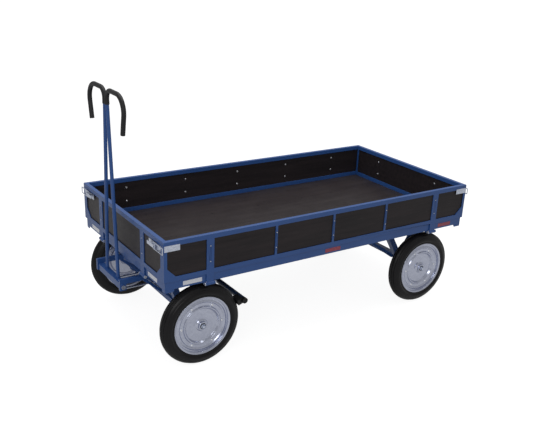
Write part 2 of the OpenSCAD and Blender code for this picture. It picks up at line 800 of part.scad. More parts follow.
module left_panel() place() at_left() board_panel(bed_l, side_post_w, side_bolts_at);

module left_bolts() place() at_left() board_bolts(side_bolts_at);

module right_frame() mirror([0, 1, 0]) left_frame();

module right_panel() mirror([0, 1, 0]) left_panel();

module right_bolts() mirror([0, 1, 0]) left_bolts();

module front_frame() color(paint) place() at_front() board_frame(end_board_l, end_post_w, end_straps, []);

module front_panel() place() at_front() board_panel(end_board_l, end_post_w, end_straps);

module front_bolts() place() at_front() board_bolts(end_straps);

module rear_frame() color(paint) place() mirror([1, 0, 0]) at_front()
    board_frame(end_board_l, end_post_w, end_straps, []);

module rear_panel() place() mirror([1, 0, 0]) at_front() board_panel(end_board_l, end_post_w, end_straps);

module rear_bolts() place() mirror([1, 0, 0]) at_front() board_bolts(end_straps);

// ---------- latches ----------

// Strike plates at both ends of a side board
module strikes() both_ends() at_left()
    translate([strike_in - half_l, -strike_t, latch_z + strike_up - strike_h / 2])
        cube([strike_l, strike_t, strike_h]);

module left_strikes() color(zinc) place() strikes();

module right_strikes() mirror([0, 1, 0]) left_strikes();

// Shapes at a latch: x from the pivot towards the corner, y inward, z from the latch's middle
module at_latch() at_front() translate([half_w - latch_in, -lever_out, latch_z]) children();

// Base plate with two ears and its pivot pin
module latch_plate() at_latch() {
    plate_y = lever_out - plate_t;
    corner_x = latch_in - board_t - board_gap - plate_in;
    block([latch_in - plate_end, plate_y, -plate_half], [corner_x, lever_out, plate_half]);
    for (s = [-1, 1]) {
        block([-lever_r, 0, s * ear_z], [lever_r, plate_y, s * (ear_z - ear_t)]);
        translate([0, 0, s > 0 ? ear_z - ear_t : -ear_z]) cylinder(r = lever_r, h = ear_t);
    }
    translate([0, 0, ear_t - ear_z]) cylinder(r = wire_r, h = 2 * (ear_z - ear_t));
}

module front_latch_plates() color(zinc) place() both_sides() latch_plate();

module rear_latch_plates() mirror([1, 0, 0]) translate([-2 * x_c, 0, 0]) front_latch_plates();

// Lever of folded sheet: its cheeks turn on the pivot and carry the bail
module lever() color(zinc) at_latch() difference() {
    union() {
        block([-lever_l, -cheek_r - lever_t, -lever_half], [0, -cheek_r, lever_half]);
        for (s = [-1, 1]) {
            z0 = s > 0 ? lever_half - lever_t : -lever_half;
            translate([0, 0, z0]) cylinder(r = cheek_r, h = lever_t);
            translate([-bail_arm, 0, z0]) cylinder(r = cheek_r, h = lever_t);
            block([-bail_arm - cheek_r, -cheek_r, z0], [0, 0, z0 + lever_t]);
            block([-bail_arm, 0, z0], [0, cheek_r, z0 + lever_t]);
        }
    }
    for (x = [0, -bail_arm]) translate([x, 0, -lever_half - cut])
        cylinder(r = wire_r + run_gap, h = 2 * lever_half + 2 * cut);
}

// Wire bail: two inward pins, two legs and the end that lies over the corner
module bail() color(zinc) at_latch() {
    end_x = latch_in + bail_out;
    for (s = [-1, 1]) {
        translate([-bail_arm, 0, s * bail_half]) rod_x(wire_r, 0, end_x + bail_arm);
        translate([-bail_arm, 0, s > 0 ? lever_half - lever_t : -bail_half])
            cylinder(r = wire_r, h = bail_half - lever_half + lever_t);
        for (x = [-bail_arm, end_x]) translate([x, 0, s * bail_half]) sphere(wire_r);
    }
    translate([end_x, 0, -bail_half]) cylinder(r = wire_r, h = 2 * bail_half);
}

// Puts a latch part at one corner: rear and left are 1 or 0
module corner(rear, left) place() mirror([rear, 0, 0]) mirror([0, 1 - left, 0]) children();

module lever_front_left() corner(0, 1) lever();

module lever_front_right() corner(0, 0) lever();

module lever_rear_left() corner(1, 1) lever();

module lever_rear_right() corner(1, 0) lever();

module bail_front_left() corner(0, 1) bail();

module bail_front_right() corner(0, 0) bail();

module bail_rear_left() corner(1, 1) bail();

module bail_rear_right() corner(1, 0) bail();

side_rails();
end_rails();
cross_members();
corner_feet();
hinge_lugs();
hinge_pins();
deck();
deck_screws();
white_reflectors();
red_reflectors();
upper_ring();
ring_balls();
rear_axle();
rear_axle_legs();
rear_axle_nuts();
lower_ring();
steering_beams();
steering_arms();
front_axle();
front_axle_legs();
front_axle_nuts();
drawbar_bolts();
drawbar_foot();
drawbar_tubes();
hand_grips();
brake_bar();
brake_shoes();
brake_rods();
tyre_front_left();
rim_front_left();
tyre_front_right();
rim_front_right();
tyre_rear_left();
rim_rear_left();
tyre_rear_right();
rim_rear_right();
left_frame();
left_panel();
left_bolts();
left_strikes();
right_frame();
right_panel();
right_bolts();
right_strikes();
front_frame();
front_panel();
front_bolts();
front_latch_plates();
rear_frame();
rear_panel();
rear_bolts();
rear_latch_plates();
lever_front_left();
lever_front_right();
lever_rear_left();
lever_rear_right();
bail_front_left();
bail_front_right();
bail_rear_left();
bail_rear_right();
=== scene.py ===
"""Hand-drawn platform trailer with four drop sides: finishes, small parts, light and camera.

X runs along the trailer with the drawbar at -X, the left side is at -Y, Z is up. Sizes are in metres.
"""

import math

import bmesh
import bpy
from mathutils import Matrix, Vector


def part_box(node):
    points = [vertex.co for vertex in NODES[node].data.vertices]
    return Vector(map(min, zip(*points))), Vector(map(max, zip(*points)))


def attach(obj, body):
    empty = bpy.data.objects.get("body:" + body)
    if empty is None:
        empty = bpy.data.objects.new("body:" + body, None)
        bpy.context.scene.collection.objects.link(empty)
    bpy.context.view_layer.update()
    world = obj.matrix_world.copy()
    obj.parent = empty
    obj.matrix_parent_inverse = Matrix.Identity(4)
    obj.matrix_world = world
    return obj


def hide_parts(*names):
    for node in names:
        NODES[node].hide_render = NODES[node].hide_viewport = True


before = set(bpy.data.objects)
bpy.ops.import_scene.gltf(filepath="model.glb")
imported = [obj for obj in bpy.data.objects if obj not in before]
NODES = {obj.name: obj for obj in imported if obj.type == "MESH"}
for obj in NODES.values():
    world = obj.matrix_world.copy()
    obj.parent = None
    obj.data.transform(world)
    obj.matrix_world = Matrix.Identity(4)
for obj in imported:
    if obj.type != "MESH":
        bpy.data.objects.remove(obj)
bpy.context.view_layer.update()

MM = 0.001
CORNERS = [(end, side) for end in ("front", "rear") for side in ("left", "right")]
BOARDS = ("left", "right", "front", "rear")

# Edges of the steel and board parts
STEEL_EDGE = 0.9 * MM
FILM_EDGE = 0.4 * MM

# Wheels, as distances from the wheel's middle
RIM_SHEET = 3 * MM
RIM_BOLTS = 6
RIM_BOLT_CIRCLE = 117 * MM
HUB_BORE = 17 * MM
AXLE_BORE = 10.2 * MM
RIM_BOLT_HEAD = 6.5 * MM
TYRE_SEAT = 8.5 * MM
TREAD_SHARE = 0.74
TREAD_GROOVES = (-21 * MM, -7.5 * MM, 7.5 * MM, 21 * MM)
ROUND_STEPS = 128

# Axle ends
WASHER = 13.6 * MM
WASHER_SHEET = 1.6 * MM
AXLE_NUT = 23 * MM
STUB = 8 * MM

# Bolts of the boards
SHANK = 2.5 * MM
HEAD_HEIGHT = 3 * MM
RIVET_END = 2.4 * MM
NUT_SKIN = 1.6 * MM

# Brake bar
CAP_LENGTH = 20 * MM
CAP_SKIN = 1 * MM

# Drawbar
GRIP_WALL = 2.5 * MM
GRIP_SIDES = 40
HANDLE = ((75, 366), (10.3, 1362), (234, 1362), (197, 1176))
GRIP_START = 924.3 * MM
INNER_BEND = 48 * MM
OUTER_BEND = 78 * MM


# ---------- meshes ----------

def middle(box):
    """The middle of a (lowest corner, highest corner) box."""
    return (box[0] + box[1]) / 2


def solids(node):
    """Boxes of the separate solids in a CAD node, in order of X, then Y, then Z."""
    mesh = bmesh.new()
    mesh.from_mesh(NODES[node].data)
    bmesh.ops.remove_doubles(mesh, verts=mesh.verts, dist=0.001 * MM)
    seen = set()
    boxes = []
    for first in mesh.verts:
        if first in seen:
            continue
        seen.add(first)
        group = [first]
        for vertex in group:
            for edge in vertex.link_edges:
                other = edge.other_vert(vertex)
                if other not in seen:
                    seen.add(other)
                    group.append(other)
        low = Vector([min(v.co[i] for v in group) for i in range(3)])
        high = Vector([max(v.co[i] for v in group) for i in range(3)])
        boxes.append((low, high))
    mesh.free()
    return sorted(boxes, key=lambda box: [round(c, 4) for c in middle(box)])


def rounded(points, radius, steps=4):
    """An outline of (x, y) points with its corners rounded, each by at most a third of its sides."""
    outline = []
    for i, corner in enumerate(points):
        corner = Vector(corner)
        before = Vector(points[i - 1]) - corner
        after = Vector(points[(i + 1) % len(points)]) - corner
        reach = min(radius, before.length / 3, after.length / 3)
        start = corner + before.normalized() * reach
        end = corner + after.normalized() * reach
        for k in range(steps + 1):
            t = k / steps
            outline.append((1 - t) ** 2 * start + 2 * t * (1 - t) * corner + t * t * end)
    return outline


def lathe(outline, steps=ROUND_STEPS):
    """A closed outline of (radius, distance along Y) points, turned round the Y axis."""
    mesh = bmesh.new()
    rings = []
    for k in range(steps):
        angle = 2 * math.pi * k / steps
        c, s = math.cos(angle), math.sin(angle)
        rings.append([mesh.verts.new((p[0] * c, p[1], p[0] * s)) for p in outline])
    for k in range(steps):
        a, b = rings[k], rings[(k + 1) % steps]
        for i in range(len(outline)):
            j = (i + 1) % len(outline)
            mesh.faces.new((a[i], a[j], b[j], b[i]))
    bmesh.ops.remove_doubles(mesh, verts=mesh.verts, dist=0.001 * MM)
    bmesh.ops.recalc_face_normals(mesh, faces=mesh.faces)
    return mesh


def tube(path, radius, sides=32, bore=0.0):
    """A bar along a path of points, or a hollow one with a bore radius, with flat ends."""
    mesh = bmesh.new()
    points = [Vector(p) for p in path]
    last = len(points) - 1
    side = (points[1] - points[0]).orthogonal().normalized()
    outer, inner = [], []
    for i, p in enumerate(points):
        along = (points[min(i + 1, last)] - points[max(i - 1, 0)]).normalized()
        side = (side - along * side.dot(along)).normalized()
        up = along.cross(side)
        turn = [2 * math.pi * k / sides for k in range(sides)]
        outer.append([mesh.verts.new(p + radius * (math.cos(a) * side + math.sin(a) * up)) for a in turn])
        if bore:
            inner.append([mesh.verts.new(p + bore * (math.cos(a) * side + math.sin(a) * up)) for a in turn])
    for rings in filter(None, (outer, inner)):
        for a, b in zip(rings, rings[1:]):
            for k in range(sides):
                j = (k + 1) % sides
                mesh.faces.new((a[k], a[j], b[j], b[k]))
    for i in (0, last):
        if not bore:
            mesh.faces.new(outer[i])
            continue
        for k in range(sides):
            j = (k + 1) % sides
            mesh.faces.new((outer[i][k], outer[i][j], inner[i][j], inner[i][k]))
    bmesh.ops.recalc_face_normals(mesh, faces=mesh.faces)
    return mesh


def joined(meshes):
    """Several bmeshes in one."""
    whole = bmesh.new()
    for mesh in meshes:
        data = bpy.data.meshes.new("part")
        mesh.to_mesh(data)
        mesh.free()
        whole.from_mesh(data)
        bpy.data.meshes.remove(data)
    return whole


def moved(mesh, matrix):
    """The bmesh moved by a matrix."""
    bmesh.ops.transform(mesh, matrix=matrix, verts=mesh.verts)
    return mesh


def facing(direction, place):
    """The matrix that turns +Y to a direction and moves to a place."""
    return Matrix.Translation(place) @ Vector(direction).to_track_quat("Y", "Z").to_matrix().to_4x4()


def dome_head(radius, height):
    """A domed bolt head that stands on y = 0."""
    points = [(0, 0), (radius, 0), (radius, height * 0.25)]
    points += [(radius * math.cos(a), height * (0.25 + 0.75 * math.sin(a)))
               for a in [math.radians(d) for d in (20, 40, 60, 75)]]
    points.append((0, height))
    return lathe(points, 24)


def hex_head(flats, height):
    """A hexagonal bolt head or nut that stands on y = 0, with its corners chamfered."""
    mesh = bmesh.new()
    corner = flats / math.sqrt(3)
    chamfer = height * 0.18
    rings = []
    for y, r in ((0, corner), (height - chamfer, corner), (height, corner * 0.88)):
        rings.append([mesh.verts.new((r * math.cos(math.pi * k / 3), y, r * math.sin(math.pi * k / 3)))
                      for k in range(6)])
    for a, b in zip(rings, rings[1:]):
        for k in range(6):
            mesh.faces.new((a[k], a[(k + 1) % 6], b[(k + 1) % 6], b[k]))
    mesh.faces.new(rings[0])
    mesh.faces.new(rings[-1])
    bmesh.ops.recalc_face_normals(mesh, faces=mesh.faces)
    return mesh


def piece(name, mesh, finish, body, place=(0, 0, 0), replaces=(), crease=40, bevel=0.0):
    """Makes a piece from a bmesh in its own coordinates, puts it in its place and lets it ride on a body."""
    data = bpy.data.meshes.new(name)
    mesh.to_mesh(data)
    mesh.free()
    thing = bpy.data.objects.new(name, data)
    bpy.context.scene.collection.objects.link(thing)
    thing.location = place
    data.materials.append(FINISHES[finish])
    data.shade_smooth()
    data.set_sharp_from_angle(angle=math.radians(crease))
    if bevel:
        soften(thing, bevel)
    thing.modifiers.new("even shading", "WEIGHTED_NORMAL").keep_sharp = True
    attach(thing, body)
    if replaces:
        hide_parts(*replaces)
    return thing


def soften(thing, width):
    """Rounds a piece's sharp edges a little, so that they catch the light."""
    edge = thing.modifiers.new("rounded edges", "BEVEL")
    edge.width = width
    edge.segments = 2
    edge.limit_method = "ANGLE"
    edge.angle_limit = math.radians(40)
    edge.miter_outer = "MITER_ARC"
    edge.harden_normals = False


# ---------- shared effects of the finishes ----------

def add(tree, kind, **settings):
    """A new node. A setting whose name is an input's name with spaces sets that input."""
    node = tree.nodes.new(kind)
    for name, value in settings.items():
        label = name.replace("_", " ").title()
        if hasattr(node, name):
            setattr(node, name, value)
        else:
            node.inputs[label].default_value = value
    return node


def effect(name, inputs, outputs):
    """An empty node group with named inputs and outputs, and its two end nodes."""
    tree = bpy.data.node_groups.new(name, "ShaderNodeTree")
    for label, value in inputs.items():
        kind = "NodeSocketColor" if isinstance(value, tuple) else "NodeSocketFloat"
        tree.interface.new_socket(label, in_out="INPUT", socket_type=kind).default_value = value
    for label in outputs:
        tree.interface.new_socket(label, in_out="OUTPUT", socket_type="NodeSocketFloat")
    return tree, tree.nodes.new("NodeGroupInput"), tree.nodes.new("NodeGroupOutput")


def calculate(tree, operation, a, b=None, clamp=False):
    """The result of a sum of two sockets or numbers."""
    node = tree.nodes.new("ShaderNodeMath")
    node.operation = operation
    node.use_clamp = clamp
    for socket, value in zip(node.inputs, (a, b)):
        if isinstance(value, bpy.types.NodeSocket):
            tree.links.new(value, socket)
        elif value is not None:
            socket.default_value = value
    return node.outputs[0]


def spread(tree, value, low, high, to_low=0.0, to_high=1.0):
    """A value spread from one range to another and held inside it."""
    node = tree.nodes.new("ShaderNodeMapRange")
    for socket, number in zip(node.inputs, (value, low, high, to_low, to_high)):
        if isinstance(number, bpy.types.NodeSocket):
            tree.links.new(number, socket)
        else:
            socket.default_value = number
    return node.outputs[0]


def stretched_place(tree, scale):
    """The place on the piece, stretched by a scale for each axis."""
    place = tree.nodes.new("ShaderNodeTexCoord")
    mapping = tree.nodes.new("ShaderNodeMapping")
    mapping.inputs["Scale"].default_value = scale
    tree.links.new(place.outputs["Object"], mapping.inputs["Vector"])
    return mapping.outputs[0]


def cloud_effect():
    """Soft uneven patches: Value runs from 0 to 1."""
    tree, given, result = effect("uneven_patches", {"Scale": 5.0, "Detail": 3.0, "Contrast": 0.5}, ["Value"])
    place = tree.nodes.new("ShaderNodeTexCoord")
    noise = tree.nodes.new("ShaderNodeTexNoise")
    tree.links.new(place.outputs["Object"], noise.inputs["Vector"])
    tree.links.new(given.outputs["Scale"], noise.inputs["Scale"])
    tree.links.new(given.outputs["Detail"], noise.inputs["Detail"])
    reach = calculate(tree, "MULTIPLY", given.outputs["Contrast"], 0.5)
    low = calculate(tree, "SUBTRACT", 0.5, reach)
    high = calculate(tree, "ADD", 0.5, reach)
    tree.links.new(spread(tree, noise.outputs["Fac"], low, high), result.inputs["Value"])
    return tree


def edge_effect():
    """Thin or rubbed finish along the edges, which also stands in for a painted highlight on them: Mask is 1
    where the finish is thinnest and the painted highlight strongest.
    """
    inputs = {"Width": 0.002, "Patchiness": 30.0, "Amount": 1.0}
    tree, given, result = effect("edge_wear_and_painted_highlight", inputs, ["Mask"])
    round_off = tree.nodes.new("ShaderNodeBevel")
    round_off.samples = 4
    tree.links.new(given.outputs["Width"], round_off.inputs["Radius"])
    flat = tree.nodes.new("ShaderNodeNewGeometry")
    bend = tree.nodes.new("ShaderNodeVectorMath")
    bend.operation = "DOT_PRODUCT"
    tree.links.new(round_off.outputs[0], bend.inputs[0])
    tree.links.new(flat.outputs["Normal"], bend.inputs[1])
    sharp = spread(tree, bend.outputs["Value"], 0.995, 0.80)
    place = tree.nodes.new("ShaderNodeTexCoord")
    noise = tree.nodes.new("ShaderNodeTexNoise")
    tree.links.new(place.outputs["Object"], noise.inputs["Vector"])
    tree.links.new(given.outputs["Patchiness"], noise.inputs["Scale"])
    patches = spread(tree, noise.outputs["Fac"], 0.35, 0.65, 0.25, 1.0)
    worn = calculate(tree, "MULTIPLY", sharp, patches)
    tree.links.new(calculate(tree, "MULTIPLY", worn, given.outputs["Amount"], True), result.inputs["Mask"])
    return tree


def dust_effect():
    """Fine dust on faces that look up: Mask is 1 where it lies thickest."""
    tree, given, result = effect("settled_dust", {"Scale": 12.0, "Amount": 0.2}, ["Mask"])
    shape = tree.nodes.new("ShaderNodeNewGeometry")
    parts = tree.nodes.new("ShaderNodeSeparateXYZ")
    tree.links.new(shape.outputs["Normal"], parts.inputs[0])
    level = spread(tree, parts.outputs["Z"], 0.3, 1.0)
    place = tree.nodes.new("ShaderNodeTexCoord")
    noise = add(tree, "ShaderNodeTexNoise", detail=5.0)
    tree.links.new(place.outputs["Object"], noise.inputs["Vector"])
    tree.links.new(given.outputs["Scale"], noise.inputs["Scale"])
    patches = spread(tree, noise.outputs["Fac"], 0.35, 0.75)
    lying = calculate(tree, "MULTIPLY", level, patches)
    tree.links.new(calculate(tree, "MULTIPLY", lying, given.outputs["Amount"], True), result.inputs["Mask"])
    return tree


def grain_effect():
    """Fine even grain, such as the skin of powder coat or rubber: Height runs from 0 to 1."""
    tree, given, result = effect("fine_grain", {"Scale": 600.0}, ["Height"])
    place = tree.nodes.new("ShaderNodeTexCoord")
    noise = add(tree, "ShaderNodeTexNoise", detail=1.5)
    tree.links.new(place.outputs["Object"], noise.inputs["Vector"])
    tree.links.new(given.outputs["Scale"], noise.inputs["Scale"])
    tree.links.new(noise.outputs["Fac"], result.inputs["Height"])
    return tree


def spangle_effect():
    """The crystal patches of a zinc coat: Value differs from patch to patch."""
    tree, given, result = effect("zinc_spangle", {"Scale": 120.0}, ["Value", "Height"])
    place = tree.nodes.new("ShaderNodeTexCoord")
    cells = tree.nodes.new("ShaderNodeTexVoronoi")
    tree.links.new(place.outputs["Object"], cells.inputs["Vector"])
    tree.links.new(given.outputs["Scale"], cells.inputs["Scale"])
    shade = tree.nodes.new("ShaderNodeSeparateColor")
    tree.links.new(cells.outputs["Color"], shade.inputs[0])
    tree.links.new(shade.outputs[0], result.inputs["Value"])
    tree.links.new(cells.outputs["Distance"], result.inputs["Height"])
    return tree


def streak_effect():
    """Long streaks along X, such as wood grain or scuffs: Value runs from 0 to 1."""
    tree, given, result = effect("long_streaks", {"Scale": 8.0, "Low": 0.4, "High": 0.6}, ["Value"])
    noise = add(tree, "ShaderNodeTexNoise", detail=6.0)
    tree.links.new(stretched_place(tree, (0.6, 9.0, 9.0)), noise.inputs["Vector"])
    tree.links.new(given.outputs["Scale"], noise.inputs["Scale"])
    streaks = spread(tree, noise.outputs["Fac"], given.outputs["Low"], given.outputs["High"])
    tree.links.new(streaks, result.inputs["Value"])
    return tree


def mesh_print_effect():
    """The print of a wire mesh in a coated board: Height is 1 on its raised squares."""
    tree, given, result = effect("wire_mesh_print", {"Pitch": 0.005}, ["Height"])
    place = tree.nodes.new("ShaderNodeTexCoord")
    parts = tree.nodes.new("ShaderNodeSeparateXYZ")
    tree.links.new(place.outputs["Object"], parts.inputs[0])
    waves = []
    for axis in ("X", "Y"):
        turns = calculate(tree, "DIVIDE", parts.outputs[axis], given.outputs["Pitch"])
        angle = calculate(tree, "MULTIPLY", turns, math.pi)
        waves.append(calculate(tree, "ABSOLUTE", calculate(tree, "SINE", angle)))
    both = calculate(tree, "MULTIPLY", *waves)
    tree.links.new(spread(tree, both, 0.05, 0.45), result.inputs["Height"])
    return tree


EFFECTS = {tree.name: tree for tree in (
    cloud_effect(), edge_effect(), dust_effect(), grain_effect(), spangle_effect(), streak_effect(),
    mesh_print_effect())}


# ---------- finishes ----------

def finish_material(name, **constants):
    """A material with one Principled shader whose constants are set on its own sockets."""
    material = bpy.data.materials.new(name)
    material.use_nodes = True
    shader = material.node_tree.nodes["Principled BSDF"]
    for label, value in constants.items():
        shader.inputs[label.replace("_", " ").title().replace("Ior", "IOR")].default_value = value
    return material, material.node_tree, shader


def use(tree, name, output, **values):
    """Places a shared effect in a material and gives one of its outputs."""
    node = tree.nodes.new("ShaderNodeGroup")
    node.node_tree = EFFECTS[name]
    for label, value in values.items():
        node.inputs[label.title()].default_value = value
    return node.outputs[output]


def mixed(tree, factor, first, second):
    """Two colours, or a colour and a socket, mixed by a factor."""
    node = tree.nodes.new("ShaderNodeMix")
    node.data_type = "RGBA"
    tree.links.new(factor, node.inputs["Factor"])
    for label, value in (("A", first), ("B", second)):
        socket = [s for s in node.inputs if s.name == label and s.type == "RGBA"][0]
        if isinstance(value, bpy.types.NodeSocket):
            tree.links.new(value, socket)
        else:
            socket.default_value = (*value, 1)
    return [s for s in node.outputs if s.type == "RGBA"][0]


def raise_surface(tree, shader, height, depth, before=None):
    """Feeds a height to the shader's normal through a Bump node."""
    bump = tree.nodes.new("ShaderNodeBump")
    bump.inputs["Distance"].default_value = depth
    tree.links.new(height, bump.inputs["Height"])
    if before:
        tree.links.new(before, bump.inputs["Normal"])
    tree.links.new(bump.outputs[0], shader.inputs["Normal"])
    return bump.outputs[0]


def blue_paint(name, deep, pale):
    """Satin blue powder coat: slightly uneven, thin on the edges with a painted highlight there, with a trace
    of dust.
    """
    material, tree, shader = finish_material(name, coat_weight=0.15, coat_roughness=0.25)
    patches = use(tree, "uneven_patches", "Value", scale=4.0, detail=4.0, contrast=0.7)
    colour = mixed(tree, patches, deep, pale)
    edges = use(tree, "edge_wear_and_painted_highlight", "Mask", width=0.0016, patchiness=25.0, amount=0.45)
    # lighter blue on the edges: partly wear, partly painted highlight
    colour = mixed(tree, edges, colour, (0.07, 0.14, 0.38))
    dust = use(tree, "settled_dust", "Mask", scale=9.0, amount=0.04)
    colour = mixed(tree, dust, colour, (0.30, 0.32, 0.36))
    tree.links.new(colour, shader.inputs["Base Color"])
    gloss = use(tree, "uneven_patches", "Value", scale=14.0, detail=3.0, contrast=0.6)
    tree.links.new(spread(tree, gloss, 0, 1, 0.33, 0.45), shader.inputs["Roughness"])
    raise_surface(tree, shader, use(tree, "fine_grain", "Height", scale=420.0), 0.00012)
    return material


def zinc(name, low, high):
    """Bright zinc coat with a faint spangle."""
    material, tree, shader = finish_material(name, metallic=0.92)
    spangle = use(tree, "zinc_spangle", "Value", scale=140.0)
    colour = mixed(tree, spangle, low, high)
    edges = use(tree, "edge_wear_and_painted_highlight", "Mask", width=0.001, patchiness=40.0, amount=0.4)
    # paler zinc on the edges: partly wear, partly painted highlight
    colour = mixed(tree, edges, colour, (0.80, 0.82, 0.86))
    tree.links.new(colour, shader.inputs["Base Color"])
    patches = use(tree, "uneven_patches", "Value", scale=25.0, detail=4.0, contrast=0.8)
    tree.links.new(spread(tree, patches, 0, 1, 0.24, 0.38), shader.inputs["Roughness"])
    raise_surface(tree, shader, use(tree, "fine_grain", "Height", scale=300.0), 0.00008)
    return material


def pressed_zinc():
    """The zinc coat of the pressed wheel discs: greyer and softer, with wide patches."""
    material, tree, shader = finish_material("pressed_zinc", metallic=0.92)
    patches = use(tree, "uneven_patches", "Value", scale=9.0, detail=5.0, contrast=0.7)
    colour = mixed(tree, patches, (0.45, 0.475, 0.59), (0.55, 0.58, 0.70))
    spangle = use(tree, "zinc_spangle", "Value", scale=90.0)
    colour = mixed(tree, calculate(tree, "MULTIPLY", spangle, 0.35), colour, (0.66, 0.70, 0.82))
    edges = use(tree, "edge_wear_and_painted_highlight", "Mask", width=0.0015, patchiness=30.0, amount=0.35)
    # paler zinc on the edges: partly wear, partly painted highlight
    colour = mixed(tree, edges, colour, (0.80, 0.82, 0.87))
    tree.links.new(colour, shader.inputs["Base Color"])
    gloss = use(tree, "uneven_patches", "Value", scale=30.0, detail=4.0, contrast=0.8)
    tree.links.new(spread(tree, gloss, 0, 1, 0.18, 0.23), shader.inputs["Roughness"])
    raise_surface(tree, shader, use(tree, "fine_grain", "Height", scale=160.0), 0.00004)
    return material


def tyre_rubber():
    """Smooth black tyre rubber with a fine skin and a little dust in the tread."""
    material, tree, shader = finish_material("tyre_rubber", specular_ior_level=0.28)
    patches = use(tree, "uneven_patches", "Value", scale=7.0, detail=5.0, contrast=0.7)
    colour = mixed(tree, patches, (0.0030, 0.0026, 0.0036), (0.0065, 0.0056, 0.0075))
    edges = use(tree, "edge_wear_and_painted_highlight", "Mask", width=0.002, patchiness=18.0, amount=0.5)
    # greyer rubber on the edges: partly wear, partly painted highlight
    colour = mixed(tree, edges, colour, (0.024, 0.023, 0.025))
    dust = use(tree, "settled_dust", "Mask", scale=30.0, amount=0.06)
    colour = mixed(tree, dust, colour, (0.20, 0.19, 0.18))
    tree.links.new(colour, shader.inputs["Base Color"])
    gloss = use(tree, "uneven_patches", "Value", scale=20.0, detail=5.0, contrast=0.7)
    tree.links.new(spread(tree, gloss, 0, 1, 0.30, 0.42), shader.inputs["Roughness"])
    raise_surface(tree, shader, use(tree, "fine_grain", "Height", scale=500.0), 0.00015)
    return material


def sleeve_rubber(name):
    """Matt black rubber of the grips and the brake shoes."""
    material, tree, shader = finish_material(name, specular_ior_level=0.4)
    patches = use(tree, "uneven_patches", "Value", scale=18.0, detail=4.0, contrast=0.6)
    colour = mixed(tree, patches, (0.010, 0.010, 0.011), (0.020, 0.020, 0.022))
    dust = use(tree, "settled_dust", "Mask", scale=40.0, amount=0.06)
    colour = mixed(tree, dust, colour, (0.20, 0.20, 0.20))
    tree.links.new(colour, shader.inputs["Base Color"])
    gloss = use(tree, "uneven_patches", "Value", scale=35.0, detail=4.0, contrast=0.6)
    tree.links.new(spread(tree, gloss, 0, 1, 0.46, 0.60), shader.inputs["Roughness"])
    raise_surface(tree, shader, use(tree, "fine_grain", "Height", scale=900.0), 0.0002)
    return material


def coated_board(name, dark, light, sheen, print_depth):
    """Plywood with a dark resin film: the grain shows faintly through it, and fine scuffs cross it."""
    material, tree, shader = finish_material(name, specular_ior_level=0.22)
    grain = use(tree, "long_streaks", "Value", scale=5.0, low=0.35, high=0.65)
    colour = mixed(tree, grain, dark, light)
    scuffs = use(tree, "long_streaks", "Value", scale=26.0, low=0.62, high=0.72)
    lighter = tuple(c * 2.2 + 0.01 for c in light)
    colour = mixed(tree, calculate(tree, "MULTIPLY", scuffs, 0.25), colour, lighter)
    dust = use(tree, "settled_dust", "Mask", scale=6.0, amount=0.05)
    colour = mixed(tree, dust, colour, (0.22, 0.20, 0.19))
    tree.links.new(colour, shader.inputs["Base Color"])
    gloss = use(tree, "uneven_patches", "Value", scale=5.0, detail=6.0, contrast=0.8)
    tree.links.new(spread(tree, gloss, 0, 1, sheen, sheen + 0.12), shader.inputs["Roughness"])
    print_height = use(tree, "wire_mesh_print", "Height", pitch=0.005)
    first = raise_surface(tree, shader, print_height, print_depth)
    streaks = use(tree, "long_streaks", "Value", scale=9.0, low=0.3, high=0.7)
    raise_surface(tree, shader, streaks, 0.00015, first)
    return material


def reflector_film(name, deep, bright):
    """Reflecting film with a fine net of prism cells under a clear skin."""
    material, tree, shader = finish_material(name, coat_weight=0.8, coat_roughness=0.05, roughness=0.35)
    cells = use(tree, "zinc_spangle", "Value", scale=260.0)
    colour = mixed(tree, cells, deep, bright)
    net = use(tree, "wire_mesh_print", "Height", pitch=0.004)
    colour = mixed(tree, spread(tree, net, 0, 1, 0.35, 0.0), colour, tuple(c * 0.6 for c in deep))
    tree.links.new(colour, shader.inputs["Base Color"])
    raise_surface(tree, shader, use(tree, "zinc_spangle", "Height", scale=260.0), 0.0001)
    return material


def black_plastic():
    """Plain black plastic of the hub seals and the brake bar's caps."""
    material, tree, shader = finish_material("black_plastic", specular_ior_level=0.3)
    patches = use(tree, "uneven_patches", "Value", scale=60.0, detail=3.0, contrast=0.6)
    colour = mixed(tree, patches, (0.006, 0.006, 0.007), (0.014, 0.014, 0.015))
    tree.links.new(colour, shader.inputs["Base Color"])
    tree.links.new(spread(tree, patches, 0, 1, 0.40, 0.55), shader.inputs["Roughness"])
    raise_surface(tree, shader, use(tree, "fine_grain", "Height", scale=700.0), 0.0001)
    return material


FINISHES = {
    "blue_paint": blue_paint("blue_paint", (0.023, 0.087, 0.300), (0.029, 0.104, 0.350)),
    # a darker copy of the blue paint, used on the brake bar as painted shade
    "blue_paint_painted_shade": blue_paint("blue_paint_painted_shade", (0.010, 0.026, 0.070), (0.013, 0.033, 0.085)),
    "zinc": zinc("zinc", (0.52, 0.56, 0.66), (0.70, 0.75, 0.87)),
    "bright_zinc": zinc("bright_zinc", (0.86, 0.88, 0.92), (0.94, 0.95, 0.97)),
    "dark_steel": zinc("dark_steel", (0.030, 0.028, 0.030), (0.050, 0.047, 0.050)),
    "pressed_zinc": pressed_zinc(),
    "tyre_rubber": tyre_rubber(),
    "grip_rubber": sleeve_rubber("grip_rubber"),
    "shoe_rubber": sleeve_rubber("shoe_rubber"),
    "black_plastic": black_plastic(),
    "deck_film": coated_board("deck_film", (0.028, 0.022, 0.023), (0.040, 0.032, 0.033), 0.34, 0.00025),
    "panel_film": coated_board("panel_film", (0.020, 0.0165, 0.0185), (0.030, 0.0235, 0.0255), 0.36, 0.0001),
    "white_reflector": reflector_film("white_reflector", (0.84, 0.87, 1.00), (0.94, 0.96, 1.00)),
    "red_reflector": reflector_film("red_reflector", (0.22, 0.008, 0.030), (0.46, 0.02, 0.07)),
}


# Nodes whose coat looks different from the rest of its kind; the brake bar's darker blue paint is painted
# shade
SPECIAL_LOOKS = {"deck_screws": "dark_steel", "brake_bar": "blue_paint_painted_shade"}


